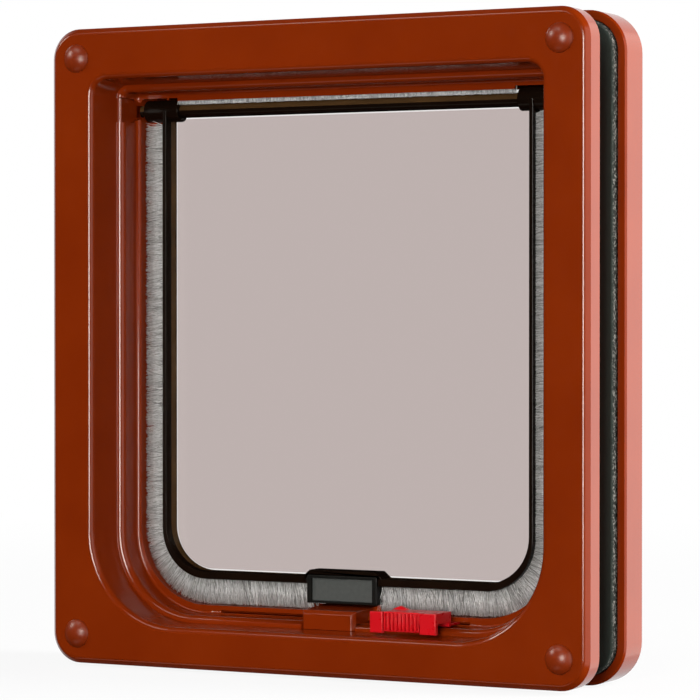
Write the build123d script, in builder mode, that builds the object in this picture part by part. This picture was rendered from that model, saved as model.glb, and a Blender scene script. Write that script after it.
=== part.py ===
import os

from build123d import *

# Cat flap for a door: a room-side frame with a stepped passage, a street-side frame that clamps the door,
# a clear flap sealed by brushes, and a red slide that locks it. Sizes are in millimetres.
# +X is to the right seen from the room, +Y goes out through the door, +Z is up.
# The origin is the middle of the frame, on the room-side face of the door.

# Door and the general fits
door_thickness = 16.0
loose_gap = 0.3  # between pieces that only stand next to each other
snug_gap = 0.1  # between pieces that locate each other

# Room-side frame: a flange, hollow behind, with a rounded border
frame_width = 204.0
frame_height = 220.0
frame_corner = 10.5
flange_depth = 8.7
face_wall = 2.6
rim_wall = 2.4
face_chamfer = 1.7
border_round = 2.0
edge_round = 0.5
side_border = 16.4
top_border = 17.4
bottom_border = 14.0
rib_wall = 1.5
rib_pitch = 44.0
rib_rows = 4
rib_columns = 3
rib_setback = 0.8

# Passage through the frame: a drafted mouth, a round ledge, then a step in to a sleeve
mouth_top_corner = 6.0
mouth_bottom_corner = 32.0
mouth_round = 2.2
mouth_depth = 14.0
mouth_draft = 1.6  # how much the sides and the top come in over that depth
mouth_floor_draft = 0.5
ledge_width = 2.5
ledge_round = 2.4
land_depth = 23.6
land_side = 1.7
land_top = 1.8
land_bottom = 2.9
land_root = 0.9
sleeve_top_corner = 1.5
sleeve_depth = 34.0
tunnel_wall = 2.2
tunnel_floor_wall = 3.6
brush_rail_height = 1.1  # in front of the top brush
brush_rail_wall = 0.6

# Screws that clamp the two frames, and their caps
screw_inset = 10.3
screw_boss_radius = 5.6
screw_radius = 2.0
screw_hole_radius = 2.2
screw_head_radius = 3.7
screw_head_height = 2.6
screw_seat_depth = 4.6
screw_recess_radius = 4.1
screw_bite = 7.2  # length inside the street-side frame's boss
cap_radius = 4.9
cap_height = 2.2
cap_plug_length = 1.7

# Street-side frame: a deeper flange with a liner that slides over the passage
outer_margin = 1.0  # how far it stands out past the room-side frame
outer_corner = 14.0
outer_depth = 15.4
outer_face_wall = 2.6
outer_rim_wall = 3.0
outer_street_chamfer = 2.0
outer_rim_bevel = 0.6
liner_wall = 2.0
liner_gap = 1.0  # from the back of the ledge to the liner's free edge
street_sill = 0.6  # the opening's sill above the sleeve's floor
street_bevel = 1.2

# Foam gasket in the street-side frame's channel
gasket_proud = 3.4
gasket_sunk = 3.4
gasket_hole_radius = 2.6

# Flap: a clear pane with a rim and a hinge barrel in one moulding
hinge_depth = 27.9  # from the room-side face to the flap's middle plane
hinge_drop = 4.3  # from the sleeve's ceiling to the hinge axis
barrel_radius = 2.25
boss_radius = 3.9  # of the thicker ends of the barrel
boss_gap = 0.6  # to the sleeve's sides
hinge_play = 0.08
pivot_reach = 2.0  # how far the pivots enter the sleeve's walls
flap_depth = 8.0
flap_rim_wall = 1.6
flap_foot_wall = 2.6
flap_corner = 17.5
flap_pane_corner = 15.0
flap_pane_wall = 1.6
flap_pane_drop = 2.4  # from the hinge axis to the top of the flat pane

# Hinge slot, open towards the room so that the flap can be snapped in
slot_mouth = 8.4
slot_lead = 0.2  # how far before the ledge the slot begins
slot_throat = 2.2  # how far before the land it starts to narrow
slot_neck = 4.0
slot_floor = 0.9  # wall left behind the slot
ledge_gap_depth = 1.3  # of the gap in the ledge in front of the slot

# Brush seals
brush_length = 7.8
brush_floor_length = 8.55
brush_side_gap = 0.55
brush_floor_gap = 0.5
brush_thickness = 4.0
brush_top_end = 4.8  # below the hinge axis
brush_holder_gap = 0.5
top_brush_length = 130.0
top_brush_height = 2.4
top_brush_thickness = 1.2
top_brush_end_gap = 0.4  # to the barrel's bosses

# Magnet in the foot of the flap, and its holder
flap_magnet_width = 23.4
flap_magnet_height = 7.8
flap_magnet_depth = 6.0
holder_side_wall = 1.8
holder_top_wall = 1.0
holder_foot_wall = 0.8
holder_depth = 8.6
holder_recess = 0.6
holder_floor_gap = 2.5  # above the sleeve's floor
bump_wall = 1.6
bump_shoulder = 2.5

# Magnet in the frame below the flap, under a cover
cover_width = 20.6
cover_front_depth = 13.5
cover_rise = 0.95  # above the sleeve's floor
cover_end_gap = 1.0
cover_floor = 1.0  # frame wall left below the cover
cover_round = 0.5
cover_wall = 1.3
cover_notch_margin = 1.9
frame_magnet_width = 17.6
frame_magnet_length = 7.4
frame_magnet_height = 4.4

# Lock slide, hooked over the ledge at the bottom of the passage
slide_left = 19.5
slide_block_left = 4.8
slide_grip = 12.9
slide_slit = 0.8
slide_block_right = 6.1
slide_front_depth = 6.9
slide_back_depth = 18.5
slide_rise = 2.35  # above the sleeve's floor
slide_plate = 1.6
slide_bar_height = 3.5
slide_foot_wall = 1.5
slide_floor_gap = 0.9  # from the plates to the mouth's floor
slide_grip_setback = 0.7
slide_grip_skin = 0.5  # the grip ends this much above the blocks' lips
slide_round = 0.4
grip_ribs = 9
grip_rib_width = 0.8
grip_rib_height = 0.5
grip_rib_draft = 20  # degrees
lug_half_width = 3.2
lug_height = 1.2
lug_depth = 1.5
lug_offset = 6.4  # from the slide's left end to the lug's point
tongue_height = 0.7
tongue_reach = 1.6  # into the track slot
track_height = 1.0
track_left = 47.5
track_right = 48.5
track_drop = 1.5  # sleeve's floor to the top of the track slot

# Planes and heights that several pieces share
face_y = -flange_depth
step_y = face_y + mouth_depth
land_y = face_y + land_depth
sleeve_end_y = face_y + sleeve_depth
hinge_y = face_y + hinge_depth
outer_width = frame_width + 2 * outer_margin
outer_height = frame_height + 2 * outer_margin
outer_front_y = door_thickness + gasket_proud
outer_back_y = outer_front_y + outer_depth
gasket_seat_y = outer_front_y + gasket_sunk
liner_front_y = step_y + tunnel_wall + liner_gap
outward = (0, 1, 0)
plane_tolerance = 0.001

# An outline of the passage: half width, top, bottom, top corner and bottom corner
mouth = (
    frame_width / 2 - side_border,
    frame_height / 2 - top_border,
    bottom_border - frame_height / 2,
    mouth_top_corner,
    mouth_bottom_corner,
)


def narrowed(outline, side, top, bottom):
    half_width, high, low, top_corner, bottom_corner = outline
    return (half_width - side, high - top, low + bottom, top_corner - top, bottom_corner - side)


def widened(outline, wall, floor_wall):
    return narrowed(outline, -wall, -wall, -floor_wall)


throat = narrowed(mouth, mouth_draft, mouth_draft, mouth_floor_draft)
step = narrowed(throat, ledge_width, ledge_width, ledge_width)
sleeve = narrowed(step, land_side, land_top, land_bottom)[:3] + (
    sleeve_top_corner,
    step[4] - land_side,
)
tunnel = widened(step, tunnel_wall, tunnel_floor_wall)
liner = widened(tunnel, loose_gap, loose_gap)
sleeve_half, sleeve_top, sleeve_bottom = sleeve[:3]
step_bottom = step[2]
hinge_z = sleeve_top - hinge_drop

flap_half = sleeve_half - brush_side_gap - brush_length
flap_bottom = sleeve_bottom + brush_floor_gap + brush_floor_length
holder_half = flap_magnet_width / 2 + holder_side_wall
holder_bottom = sleeve_bottom + holder_floor_gap
holder_top = holder_bottom + holder_foot_wall + flap_magnet_height + holder_top_wall

cover_half = cover_width / 2
cover_top = sleeve_bottom + cover_rise
cover_bottom = tunnel[2] + cover_floor
cover_front_y = face_y + cover_front_depth
cover_back_y = sleeve_end_y - cover_end_gap

slide_right = slide_left + slide_block_left + slide_grip + slide_slit + slide_block_right
slide_front_y = face_y + slide_front_depth
slide_back_y = face_y + slide_back_depth
slide_top = sleeve_bottom + slide_rise
slide_foot = step_bottom + loose_gap
plate_back_y = slide_front_y + slide_plate
track_top = sleeve_bottom - track_drop

screw_places = [
    (side * (frame_width / 2 - screw_inset), level * (frame_height / 2 - screw_inset))
    for level in (1, -1)
    for side in (-1, 1)
]


# Plane across the passage at a depth, seen from the room
def across(y):
    return Plane(origin=(0, y, 0), x_dir=(1, 0, 0), z_dir=(0, -1, 0))


def passage_face(y, outline):
    half_width, high, low, top_corner, bottom_corner = outline
    with BuildSketch(across(y)) as drawn:
        with Locations((0, (high + low) / 2)):
            Rectangle(2 * half_width, high - low)
        fillet(drawn.vertices().group_by(Axis.Y)[-1], top_corner)
        fillet(drawn.vertices().group_by(Axis.Y)[0], bottom_corner)
    return drawn.sketch


def flange_face(y, width, height, corner):
    with BuildSketch(across(y)) as drawn:
        RectangleRounded(width, height, corner)
    return drawn.sketch


def round_faces(y, radius, places):
    with BuildSketch(across(y)) as drawn:
        with Locations(*places):
            Circle(radius)
    return drawn.sketch


# Stiffening ribs behind a flange, as strips right across it
def rib_faces(y, width, height):
    with BuildSketch(across(y)) as drawn:
        with GridLocations(0, rib_pitch, 1, rib_rows):
            Rectangle(width, rib_wall)
        with GridLocations(rib_pitch, 0, rib_columns, 1):
            Rectangle(rib_wall, height)
    return drawn.sketch


# Edges or faces that lie in the plane across the passage at a depth
def lying_at(y, shapes):
    return shapes.filter_by_position(Axis.Y, y - plane_tolerance, y + plane_tolerance)


def box_between(low, high, mode=Mode.ADD):
    middle = [(a + b) / 2 for a, b in zip(low, high)]
    with Locations(tuple(middle)):
        Box(*[b - a for a, b in zip(low, high)], mode=mode)


os.makedirs("parts", exist_ok=True)


def finish(built, label):
    built.part.label = label
    export_step(built.part, f"parts/{label}.step")


# Room-side frame
with BuildPart() as inner_frame:
    extrude(flange_face(face_y, frame_width, frame_height, frame_corner), flange_depth, dir=outward)
    chamfer(inner_frame.faces().sort_by(Axis.Y)[0].edges(), face_chamfer)
    fillet(inner_frame.faces().sort_by(Axis.Y)[0].edges(), border_round)
    hollow_y = face_y + face_wall
    hollow_width = frame_width - 2 * rim_wall
    hollow_height = frame_height - 2 * rim_wall
    hollow_face = flange_face(hollow_y, hollow_width, hollow_height, frame_corner - rim_wall)
    extrude(hollow_face, -hollow_y, dir=outward, mode=Mode.SUBTRACT)
    # ribs and screw bosses behind the face
    extrude(rib_faces(hollow_y, hollow_width, hollow_height), -hollow_y - rib_setback, dir=outward)
    extrude(round_faces(hollow_y, screw_boss_radius, screw_places), -hollow_y, dir=outward)
    # outside of the mouth, the tunnel and the sleeve
    loft(
        [
            passage_face(face_y + tunnel_wall, widened(mouth, tunnel_wall, tunnel_wall)),
            passage_face(step_y + tunnel_wall, widened(throat, tunnel_wall, tunnel_wall)),
        ],
        ruled=True,
    )
    extrude(passage_face(step_y + tunnel_wall, tunnel), land_depth - mouth_depth, dir=outward)
    sleeve_outside = widened(sleeve, tunnel_wall, tunnel_wall)
    extrude(passage_face(land_y, sleeve_outside), sleeve_depth - land_depth, dir=outward)
    pocket_half = cover_half + snug_gap + cover_wall
    box_between((-pocket_half, land_y, tunnel[2]), (pocket_half, sleeve_end_y, sleeve_bottom))
    # inside of the passage
    loft([passage_face(face_y, mouth), passage_face(step_y, throat)], ruled=True, mode=Mode.SUBTRACT)
    extrude(passage_face(step_y, step), land_depth - mouth_depth, dir=outward, mode=Mode.SUBTRACT)
    extrude(passage_face(land_y, sleeve), sleeve_depth - land_depth, dir=outward, mode=Mode.SUBTRACT)
    fillet(inner_frame.faces().sort_by(Axis.Y)[0].inner_wires()[0].edges(), mouth_round)
    ledge_face = lying_at(step_y, inner_frame.faces().filter_by(Plane.XZ)).sort_by(SortBy.AREA)[-1]
    fillet(ledge_face.inner_wires()[0].edges(), ledge_round)
    land_face = lying_at(land_y, inner_frame.faces().filter_by(Plane.XZ)).sort_by(SortBy.AREA)[-1]
    fillet(land_face.outer_wire().edges(), land_root)
    # rail in front of the top brush
    rail_half = top_brush_length / 2
    box_between(
        (-rail_half, land_y, sleeve_top - brush_rail_height),
        (rail_half, land_y + brush_rail_wall, sleeve_top + tunnel_wall),
    )
    # screw recesses and holes at the corners
    recess_faces = round_faces(face_y, screw_recess_radius, screw_places)
    extrude(recess_faces, screw_seat_depth, dir=outward, mode=Mode.SUBTRACT)
    hole_faces = round_faces(face_y, screw_hole_radius, screw_places)
    extrude(hole_faces, flange_depth, dir=outward, mode=Mode.SUBTRACT)
    # seat of the magnet cover, open to the room through a notch in the mouth's floor
    seat_half = cover_half + snug_gap
    notch_half = cover_half + cover_notch_margin
    box_between(
        (-seat_half, cover_front_y, cover_bottom), (seat_half, sleeve_end_y, cover_top), mode=Mode.SUBTRACT
    )
    box_between(
        (-notch_half, face_y, cover_bottom), (notch_half, cover_front_y, cover_top), mode=Mode.SUBTRACT
    )
    # track slot of the lock slide, through the riser of the land
    for start, end in ((-track_left, -pocket_half), (pocket_half, track_right)):
        box_between(
            (start, land_y - land_root - snug_gap, track_top - track_height),
            (end, land_y + tunnel_wall, track_top),
            mode=Mode.SUBTRACT,
        )
    # hinge slots in both sides, with a gap in the ledge in front of each
    slot_start = sleeve_half - sleeve_top_corner
    for side in (-1, 1):
        with BuildSketch(Plane.YZ.offset(side * slot_start)):
            with BuildLine():
                Polyline(
                    (step_y - slot_lead, hinge_z + slot_mouth / 2),
                    (land_y - slot_throat, hinge_z + slot_mouth / 2),
                    (hinge_y - barrel_radius, hinge_z + slot_neck / 2),
                    (hinge_y, hinge_z + slot_neck / 2),
                    (hinge_y, hinge_z - slot_neck / 2),
                    (hinge_y - barrel_radius, hinge_z - slot_neck / 2),
                    (land_y - slot_throat, hinge_z - slot_mouth / 2),
                    (step_y - slot_lead, hinge_z - slot_mouth / 2),
                    close=True,
                )
            make_face()
            with Locations((hinge_y, hinge_z)):
                Circle(barrel_radius + hinge_play)
        extrude(amount=side * (tunnel[0] - slot_floor - slot_start), mode=Mode.SUBTRACT)
        low_x, high_x = sorted((side * slot_start, side * throat[0]))
        box_between(
            (low_x, step_y - slot_lead, hinge_z - slot_mouth / 2),
            (high_x, step_y + ledge_gap_depth, hinge_z + slot_mouth / 2),
            mode=Mode.SUBTRACT,
        )
finish(inner_frame, "inner_frame")

# Street-side frame
with BuildPart() as outer_frame:
    extrude(flange_face(outer_front_y, outer_width, outer_height, outer_corner), outer_depth, dir=outward)
    chamfer(outer_frame.faces().sort_by(Axis.Y)[-1].edges(), outer_street_chamfer)
    chamfer(outer_frame.faces().sort_by(Axis.Y)[0].edges(), outer_rim_bevel)
    channel_width = outer_width - 2 * outer_rim_wall
    channel_height = outer_height - 2 * outer_rim_wall
    channel_corner = outer_corner - outer_rim_wall
    plate_y = outer_back_y - outer_face_wall
    channel_face = flange_face(outer_front_y, channel_width, channel_height, channel_corner)
    extrude(channel_face, plate_y - outer_front_y, dir=outward, mode=Mode.SUBTRACT)
    # ribs and bosses that carry the gasket
    extrude(rib_faces(gasket_seat_y, channel_width, channel_height), plate_y - gasket_seat_y, dir=outward)
    extrude(round_faces(gasket_seat_y, screw_boss_radius, screw_places), plate_y - gasket_seat_y, dir=outward)
    # liner over the passage, and the opening in the street-side face
    extrude(
        passage_face(liner_front_y, widened(liner, liner_wall, liner_wall)),
        outer_back_y - liner_front_y,
        dir=outward,
    )
    extrude(passage_face(liner_front_y, liner), plate_y - liner_front_y, dir=outward, mode=Mode.SUBTRACT)
    street_opening = narrowed(sleeve, 0, 0, street_sill)
    extrude(passage_face(plate_y, street_opening), outer_face_wall, dir=outward, mode=Mode.SUBTRACT)
    chamfer(outer_frame.faces().sort_by(Axis.Y)[-1].inner_wires()[0].edges(), street_bevel)
    extrude(
        round_faces(gasket_seat_y, screw_radius + snug_gap, screw_places),
        screw_bite + loose_gap,
        dir=outward,
        mode=Mode.SUBTRACT,
    )
finish(outer_frame, "outer_frame")

# Foam gasket
with BuildPart() as foam_gasket:
    gasket_width = channel_width - 2 * loose_gap
    gasket_height = channel_height - 2 * loose_gap
    gasket_thickness = gasket_proud + gasket_sunk
    extrude(
        flange_face(door_thickness, gasket_width, gasket_height, channel_corner - loose_gap),
        gasket_thickness,
        dir=outward,
    )
    inside = widened(liner, liner_wall + loose_gap, liner_wall + loose_gap)
    extrude(passage_face(door_thickness, inside), gasket_thickness, dir=outward, mode=Mode.SUBTRACT)
    extrude(
        round_faces(door_thickness, gasket_hole_radius, screw_places),
        gasket_thickness,
        dir=outward,
        mode=Mode.SUBTRACT,
    )
finish(foam_gasket, "foam_gasket")

# Flap: rim, pane, hinge barrel and the raised place over the magnet holder
rim_outline = (flap_half, hinge_z, flap_bottom, edge_round, flap_corner)
pane_outline = (
    flap_half - flap_rim_wall,
    hinge_z,
    flap_bottom + flap_foot_wall,
    edge_round,
    flap_pane_corner,
)
flap_front_y = hinge_y - flap_depth / 2
bump_top = holder_top + snug_gap + bump_wall
bump_half = holder_half + snug_gap + bump_wall
with BuildPart() as flap:
    extrude(passage_face(flap_front_y, rim_outline), flap_depth, dir=outward)
    extrude(passage_face(flap_front_y, pane_outline), flap_depth, dir=outward, mode=Mode.SUBTRACT)
    # pane level with the rim's street side, and the web that carries it on the barrel
    pane_back_y = flap_front_y + flap_depth
    pane_front_y = pane_back_y - flap_pane_wall
    pane_top = hinge_z - flap_pane_drop
    pane_half, _, *pane_rest = pane_outline
    extrude(passage_face(pane_front_y, (pane_half, pane_top, *pane_rest)), flap_pane_wall, dir=outward)
    with BuildSketch(Plane.YZ.offset(-pane_half)):
        with BuildLine():
            Polyline(
                (hinge_y, hinge_z),
                (hinge_y - barrel_radius / 2, hinge_z - barrel_radius / 2),
                (pane_front_y, pane_top),
                (pane_front_y, pane_top - edge_round),
                (pane_back_y, pane_top - edge_round),
                (pane_back_y, pane_top),
                (hinge_y + barrel_radius / 2, hinge_z - barrel_radius / 2),
                close=True,
            )
        make_face()
    extrude(amount=2 * pane_half)
    with BuildSketch(across(flap_front_y)):
        with BuildLine():
            Polyline(
                (-bump_half, flap_bottom),
                (bump_half, flap_bottom),
                (bump_half, pane_outline[2]),
                (bump_half - bump_shoulder, bump_top),
                (bump_shoulder - bump_half, bump_top),
                (-bump_half, pane_outline[2]),
                close=True,
            )
        make_face()
    extrude(amount=-flap_depth)
    box_between(
        (-holder_half - snug_gap, flap_front_y, flap_bottom),
        (holder_half + snug_gap, flap_front_y + flap_depth, holder_top + snug_gap),
        mode=Mode.SUBTRACT,
    )
    with BuildSketch(Plane.YZ.offset(-sleeve_half - pivot_reach)):
        with Locations((hinge_y, hinge_z)):
            Circle(barrel_radius)
    extrude(amount=2 * (sleeve_half + pivot_reach))
    boss_start = top_brush_length / 2 + top_brush_end_gap
    for side in (-1, 1):
        with BuildSketch(Plane.YZ.offset(side * boss_start)):
            with Locations((hinge_y, hinge_z)):
                Circle(boss_radius)
        extrude(amount=side * (sleeve_half - boss_gap - boss_start))
finish(flap, "flap")

# Holder and magnet in the foot of the flap
holder_front_y = hinge_y - holder_depth / 2
magnet_front_y = holder_front_y + holder_recess
magnet_half = flap_magnet_width / 2
magnet_bottom = holder_bottom + holder_foot_wall
magnet_top = magnet_bottom + flap_magnet_height
magnet_back_y = magnet_front_y + flap_magnet_depth
with BuildPart() as flap_magnet_holder:
    box_between(
        (-holder_half, holder_front_y, holder_bottom),
        (holder_half, holder_front_y + holder_depth, holder_top),
    )
    box_between(
        (-magnet_half, holder_front_y, magnet_bottom),
        (magnet_half, magnet_back_y, magnet_top),
        mode=Mode.SUBTRACT,
    )
finish(flap_magnet_holder, "flap_magnet_holder")

with BuildPart() as flap_magnet:
    box_between((-magnet_half, magnet_front_y, magnet_bottom), (magnet_half, magnet_back_y, magnet_top))
    fillet(flap_magnet.edges().filter_by(Axis.Y), edge_round)
finish(flap_magnet, "flap_magnet")

# Brushes on the flap's two sides, each running round a bottom corner to the magnet holder
brush_outline = widened(rim_outline, brush_length, brush_floor_length)
brush_front_y = hinge_y - brush_thickness / 2
for side, label in ((-1, "brush_left"), (1, "brush_right")):
    with BuildPart() as brush:
        extrude(passage_face(brush_front_y, brush_outline), brush_thickness, dir=outward)
        extrude(passage_face(brush_front_y, rim_outline), brush_thickness, dir=outward, mode=Mode.SUBTRACT)
        near_x = side * (holder_half + brush_holder_gap)
        far_x = side * (sleeve_half + brush_length)
        low_x, high_x = sorted((near_x, far_x))
        box_between(
            (low_x, brush_front_y, sleeve_bottom),
            (high_x, brush_front_y + brush_thickness, hinge_z - brush_top_end),
            mode=Mode.INTERSECT,
        )
    finish(brush, label)

# Brush in the ceiling of the sleeve, behind the rail and in front of the hinge barrel
top_brush_y = land_y + brush_rail_wall + snug_gap
with BuildPart() as brush_top:
    box_between(
        (-top_brush_length / 2, top_brush_y, sleeve_top - top_brush_height),
        (top_brush_length / 2, top_brush_y + top_brush_thickness, sleeve_top),
    )
finish(brush_top, "brush_top")

# Magnet under the flap's foot, and the cover that holds it in the frame
frame_magnet_half = frame_magnet_width / 2
frame_magnet_y = hinge_y - frame_magnet_length / 2
frame_magnet_top = cover_bottom + frame_magnet_height
with BuildPart() as frame_magnet:
    box_between(
        (-frame_magnet_half, frame_magnet_y, cover_bottom),
        (frame_magnet_half, frame_magnet_y + frame_magnet_length, frame_magnet_top),
    )
finish(frame_magnet, "frame_magnet")

with BuildPart() as magnet_cover:
    box_between((-cover_half, cover_front_y, cover_bottom), (cover_half, cover_back_y, cover_top))
    fillet(magnet_cover.faces().sort_by(Axis.Y)[0].edges().sort_by(Axis.Z)[1:], cover_round)
    box_between(
        (-frame_magnet_half - snug_gap, frame_magnet_y - snug_gap, cover_bottom),
        (
            frame_magnet_half + snug_gap,
            frame_magnet_y + frame_magnet_length + snug_gap,
            frame_magnet_top + snug_gap,
        ),
        mode=Mode.SUBTRACT,
    )
finish(magnet_cover, "magnet_cover")


# Height of the slide's plates over the drafted floor of the mouth
def foot_at(y):
    return mouth[2] + (y - face_y) * mouth_floor_draft / mouth_depth + slide_floor_gap


# Side view of one of the slide's plates, from a front plane back to the bar
def slide_plate_face(x, front_y, lift):
    with BuildSketch(Plane.YZ.offset(x)) as drawn:
        with BuildLine():
            Polyline(
                (front_y, foot_at(front_y) + lift),
                (front_y, slide_top),
                (plate_back_y, slide_top),
                (plate_back_y, foot_at(plate_back_y) + lift),
                close=True,
            )
        make_face()
    return drawn.sketch


grip_left = slide_left + slide_block_left
block_right = slide_right - slide_block_right
grip_front_y = slide_front_y + slide_grip_setback
lug_x = slide_left + lug_offset
with BuildPart() as lock_slide:
    # two end plates in front of the ledge and of the magnet cover
    extrude(slide_plate_face(slide_left, slide_front_y, 0), slide_block_left)
    extrude(slide_plate_face(block_right, slide_front_y, 0), slide_block_right)
    fillet(lock_slide.faces().sort_by(Axis.Y)[0].edges(), slide_round)
    fillet(lock_slide.faces().filter_by(Axis.Y).sort_by(Axis.Y)[1].edges(), slide_round)
    # ribbed grip between them, set back a little
    extrude(slide_plate_face(grip_left, grip_front_y, slide_grip_skin), slide_grip)
    rib_pitch_x = slide_grip / grip_ribs
    grip_lip = foot_at(grip_front_y) + slide_grip_skin
    with BuildSketch(across(grip_front_y)):
        with Locations((grip_left + slide_grip / 2, (slide_top + grip_lip) / 2)):
            with GridLocations(rib_pitch_x, 0, grip_ribs, 1):
                Rectangle(grip_rib_width, slide_top - grip_lip - 2 * slide_round)
    extrude(amount=grip_rib_height, taper=grip_rib_draft)
    # bar over the ledge that joins the grip to the right plate behind the slit, with a foot at its back
    box_between((grip_left, plate_back_y, slide_top - slide_bar_height), (slide_right, slide_back_y, slide_top))
    box_between((grip_left, slide_back_y - slide_foot_wall, slide_foot), (slide_right, slide_back_y, slide_top))
    # pointed lug that stops the flap
    with BuildSketch(across(slide_back_y)):
        with Locations((lug_x, slide_top)):
            Polygon((-lug_half_width, 0), (lug_half_width, 0), (0, lug_height), align=None)
    extrude(amount=lug_depth)
    # tongue in the track slot
    tongue_z = track_top - track_height / 2
    box_between(
        (grip_left, slide_back_y, tongue_z - tongue_height / 2),
        (slide_right, land_y + tongue_reach, tongue_z + tongue_height / 2),
    )
finish(lock_slide, "lock_slide")

# Screw caps: low domes with a plug in each screw's recess
dome_radius = (cap_radius**2 + cap_height**2) / (2 * cap_height)
plug_radius = screw_recess_radius - snug_gap
with BuildPart() as screw_caps:
    for place_x, place_z in screw_places:
        with BuildSketch(Plane(origin=(place_x, face_y, place_z), x_dir=(1, 0, 0), z_dir=(0, 0, 1))):
            with BuildLine():
                Line((0, cap_plug_length), (0, -cap_height))
                RadiusArc((0, -cap_height), (cap_radius, 0), -dome_radius)
                Polyline(
                    (cap_radius, 0),
                    (plug_radius, 0),
                    (plug_radius, cap_plug_length),
                    (0, cap_plug_length),
                )
            make_face()
        revolve(axis=Axis((place_x, face_y, place_z), outward))
finish(screw_caps, "screw_caps")

# Clamp screws, from the room-side corners into the street-side bosses
seat_y = face_y + screw_seat_depth
with BuildPart() as clamp_screws:
    extrude(round_faces(seat_y, screw_head_radius, screw_places), screw_head_height)
    extrude(round_faces(seat_y, screw_radius, screw_places), gasket_seat_y + screw_bite - seat_y, dir=outward)
finish(clamp_screws, "clamp_screws")
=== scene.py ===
import math
import random

import bmesh
import bpy
from mathutils import Matrix, Vector, noise


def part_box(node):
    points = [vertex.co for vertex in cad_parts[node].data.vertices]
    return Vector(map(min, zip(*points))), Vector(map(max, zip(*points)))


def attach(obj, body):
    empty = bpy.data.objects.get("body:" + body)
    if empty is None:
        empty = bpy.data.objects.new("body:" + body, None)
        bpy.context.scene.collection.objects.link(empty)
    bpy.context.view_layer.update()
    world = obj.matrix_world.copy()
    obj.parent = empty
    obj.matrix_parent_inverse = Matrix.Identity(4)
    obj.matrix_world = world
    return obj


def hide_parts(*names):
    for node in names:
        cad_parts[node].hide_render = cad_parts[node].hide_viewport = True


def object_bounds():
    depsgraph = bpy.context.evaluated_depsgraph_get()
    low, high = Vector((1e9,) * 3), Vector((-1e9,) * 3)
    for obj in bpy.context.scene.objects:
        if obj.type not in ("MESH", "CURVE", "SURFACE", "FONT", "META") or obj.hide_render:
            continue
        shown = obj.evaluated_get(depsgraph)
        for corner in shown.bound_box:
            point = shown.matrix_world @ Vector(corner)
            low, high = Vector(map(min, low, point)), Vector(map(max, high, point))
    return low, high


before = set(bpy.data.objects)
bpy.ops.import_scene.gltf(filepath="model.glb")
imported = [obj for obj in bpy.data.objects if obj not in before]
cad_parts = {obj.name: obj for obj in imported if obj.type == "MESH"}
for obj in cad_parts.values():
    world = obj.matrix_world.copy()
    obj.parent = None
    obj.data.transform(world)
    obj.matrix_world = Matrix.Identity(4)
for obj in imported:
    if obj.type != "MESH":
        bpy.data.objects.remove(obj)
cadLow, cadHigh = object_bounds()
mm = 0.001
print("frame loaded,", len(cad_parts), "nodes")


# Node helpers

noiseBand = (0.3, 0.7)  # where nearly all of the noise lies


def newMaterial(name):
    material = bpy.data.materials.new(name)
    material.use_nodes = True
    nodes = material.node_tree.nodes
    return material, nodes, material.node_tree.links, nodes["Principled BSDF"]


# a socket takes another socket, a colour or a plain number
def feedSocket(links, socket, value):
    if isinstance(value, bpy.types.NodeSocket):
        links.new(value, socket)
    elif socket.type == "RGBA":
        socket.default_value = (*value, 1)
    else:
        socket.default_value = value


def dressShader(links, shader, looks):
    for name, value in looks.items():
        feedSocket(links, shader.inputs[name], value)


def mapRange(nodes, links, value, source, target, easing="LINEAR"):
    spread = nodes.new("ShaderNodeMapRange")
    spread.interpolation_type = easing
    for end, name in enumerate(("Min", "Max")):
        spread.inputs["From " + name].default_value = source[end]
        spread.inputs["To " + name].default_value = target[end]
    links.new(value, spread.inputs["Value"])
    return spread.outputs["Result"]


# noise on the piece's own coordinates: spread over a span, and as it is
def noiseRange(nodes, links, scale, span=(0, 1), detail=3):
    place = nodes.new("ShaderNodeTexCoord")
    grain = nodes.new("ShaderNodeTexNoise")
    grain.inputs["Scale"].default_value = scale
    grain.inputs["Detail"].default_value = detail
    links.new(place.outputs["Object"], grain.inputs["Vector"])
    plain = grain.outputs["Fac"]
    return mapRange(nodes, links, plain, noiseBand, span), plain


def mixColours(nodes, links, factor, first, second):
    blend = nodes.new("ShaderNodeMix")
    blend.data_type = "RGBA"
    links.new(factor, blend.inputs["Factor"])
    feedSocket(links, blend.inputs["A"], first)
    feedSocket(links, blend.inputs["B"], second)
    return blend.outputs["Result"]


def joinMath(nodes, links, operation, first, second):
    made = nodes.new("ShaderNodeMath")
    made.operation = operation
    feedSocket(links, made.inputs[0], first)
    feedSocket(links, made.inputs[1], second)
    return made.outputs[0]


def addBump(nodes, links, shader, height, strength, distance):
    bump = nodes.new("ShaderNodeBump")
    bump.inputs["Strength"].default_value = strength
    bump.inputs["Distance"].default_value = distance
    links.new(height, bump.inputs["Height"])
    links.new(bump.outputs["Normal"], shader.inputs["Normal"])


# Piece helpers

crispTurn = 1  # radians between two faces past which their edge is crisp
nearPlane = 0.05 * mm  # a vertex this near a plane counts as on it
quarterTurn = math.radians(90)


def newPiece(name, bm, body, materials, node):
    mesh = bpy.data.meshes.new(name)
    bm.to_mesh(mesh)
    bm.free()
    piece = bpy.data.objects.new(name, mesh)
    bpy.context.scene.collection.objects.link(piece)
    for material in materials:
        mesh.materials.append(material)
    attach(piece, body)
    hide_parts(node)
    return piece


# smooth faces with sharp edges past an angle, and normals that follow the large faces
def finishShading(piece, sharpDegrees=35):
    piece.data.shade_smooth()
    piece.data.set_sharp_from_angle(angle=math.radians(sharpDegrees))
    weighted = piece.modifiers.new("weightedNormals", "WEIGHTED_NORMAL")
    weighted.keep_sharp = True


def bevelEdges(bm, edges, width, segments=3):
    bmesh.ops.bevel(
        bm,
        geom=edges,
        offset=width,
        segments=segments,
        profile=0.5,
        affect="EDGES",
        material=-1,
    )


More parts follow.
